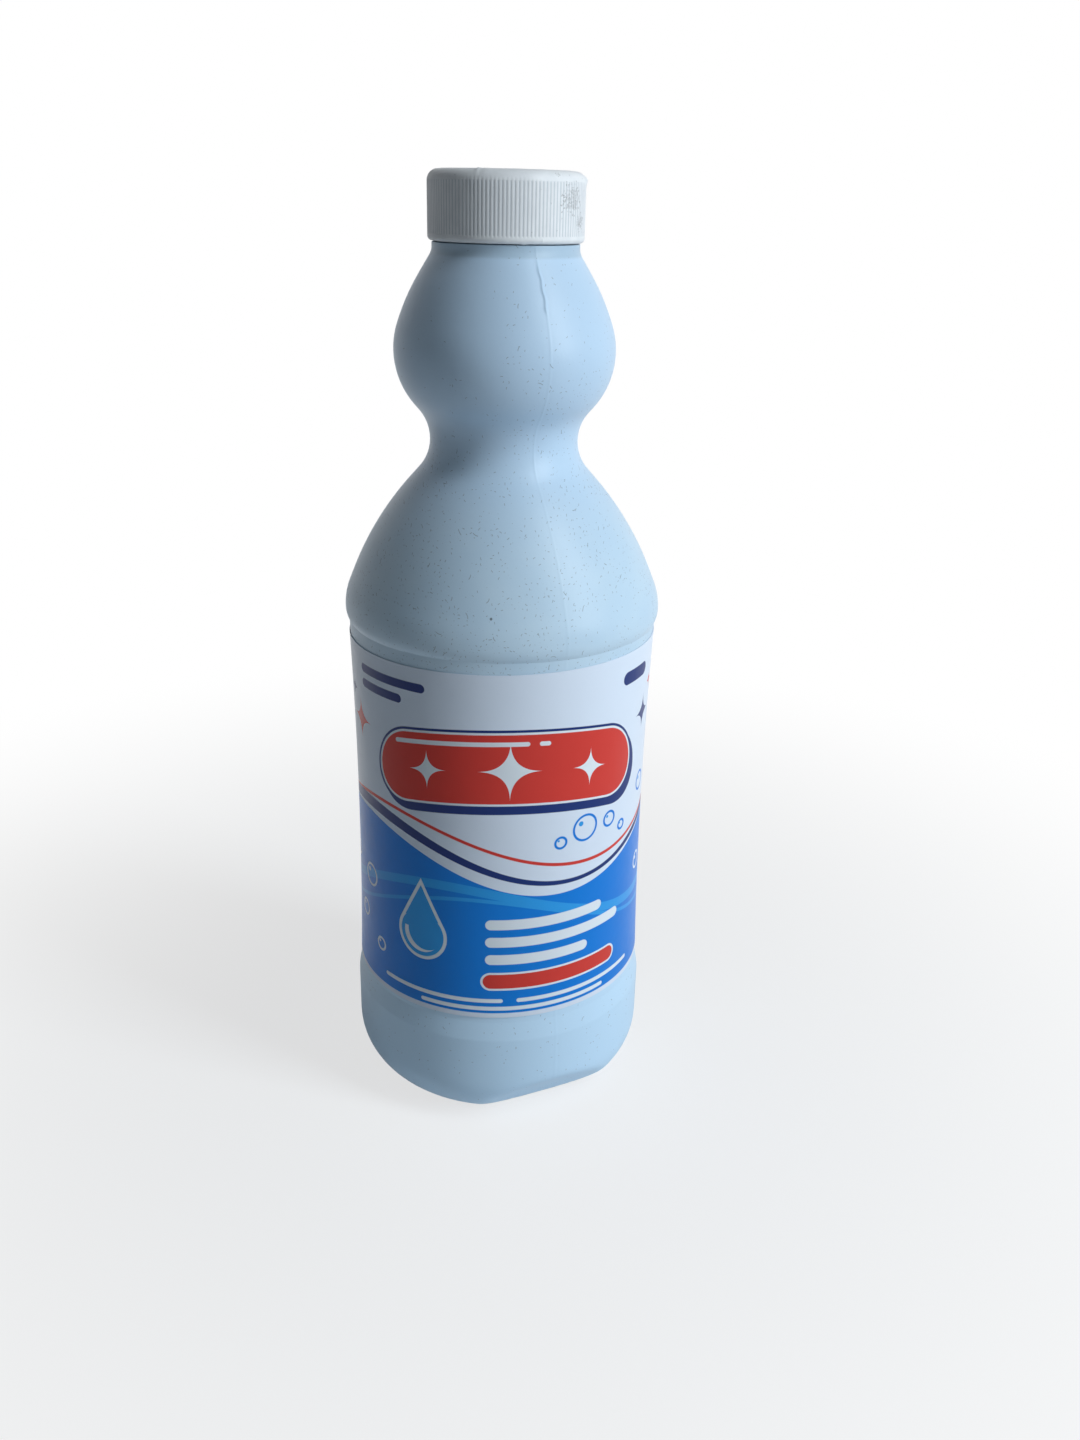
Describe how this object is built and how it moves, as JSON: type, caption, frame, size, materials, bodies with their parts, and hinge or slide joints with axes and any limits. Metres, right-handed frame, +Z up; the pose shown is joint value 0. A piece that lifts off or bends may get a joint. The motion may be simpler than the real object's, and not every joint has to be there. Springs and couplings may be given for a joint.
{
  "type": "bleach bottle",
  "caption": "Hourglass blow-moulded plastic bottle with a recessed label panel, wrap-round film label and ribbed screw cap that unscrews to open the neck.",
  "frame": {"origin": "middle of the standing plane under the base", "axes": "+Z up along the bottle's axis, -Y towards the label's front"},
  "size_m": [0.0692, 0.0692, 0.2056],
  "materials": {
    "body_plastic": "satin",
    "cap_plastic": "satin",
    "liner_foam": "matte",
    "label_film": "gloss"
  },
  "bodies": {
    "bottle_body": {"bottle": "body_plastic", "label": "label_film"},
    "wad": {"cap_liner": "liner_foam"},
    "cap": {"screw_cap": "cap_plastic"}
  },
  "joints": [
    {"name": "cap_rise", "type": "slide", "parent": "bottle_body", "child": "wad", "axis": [0, 0, 1], "range_m": [0, 0.0149]},
    {"name": "cap_turn", "type": "hinge", "parent": "wad", "child": "cap", "pos_m": [0, 0, 0.1989], "axis": [0, 0, 1], "range_deg": [0, 1260]}
  ],
  "couplings": [
    {"joint": "cap_rise", "follows": "cap_turn", "m_per_rad": 0.00067322}
  ]
}
